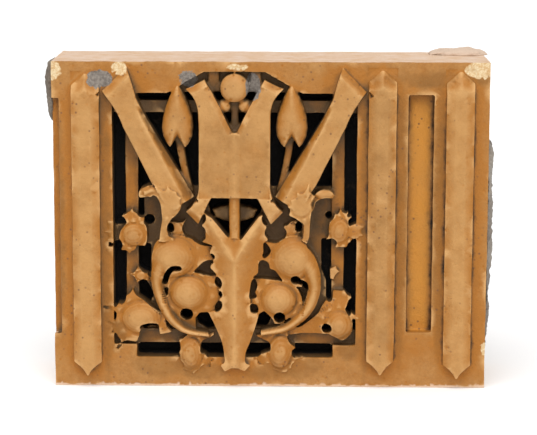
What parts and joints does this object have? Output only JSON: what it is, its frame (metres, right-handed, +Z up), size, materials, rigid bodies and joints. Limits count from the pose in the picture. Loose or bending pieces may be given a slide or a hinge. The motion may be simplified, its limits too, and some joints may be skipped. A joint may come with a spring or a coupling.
{
  "type": "terracotta panel",
  "caption": "Hollow-backed fired clay facing block with pointed bars, slanting straps, a shield, flower buds and scrolling toothed foliage over a sunk lattice ground.",
  "frame": {"origin": "centre of the block's underside, on the bottom bed", "axes": "+X along the panel to the right as seen from its face, +Y from the face into the wall, +Z up"},
  "size_m": [0.4192, 0.1125, 0.3161],
  "materials": {
    "terracotta": "fired buff clay, worn satin, sooted in the hollows",
    "mortar": "rough, dry lime mortar"
  },
  "bodies": {
    "root": {"terracotta_panel": "terracotta", "mortar_left": "mortar", "mortar_right": "mortar", "mortar_top": "mortar"}
  },
  "joints": []
}
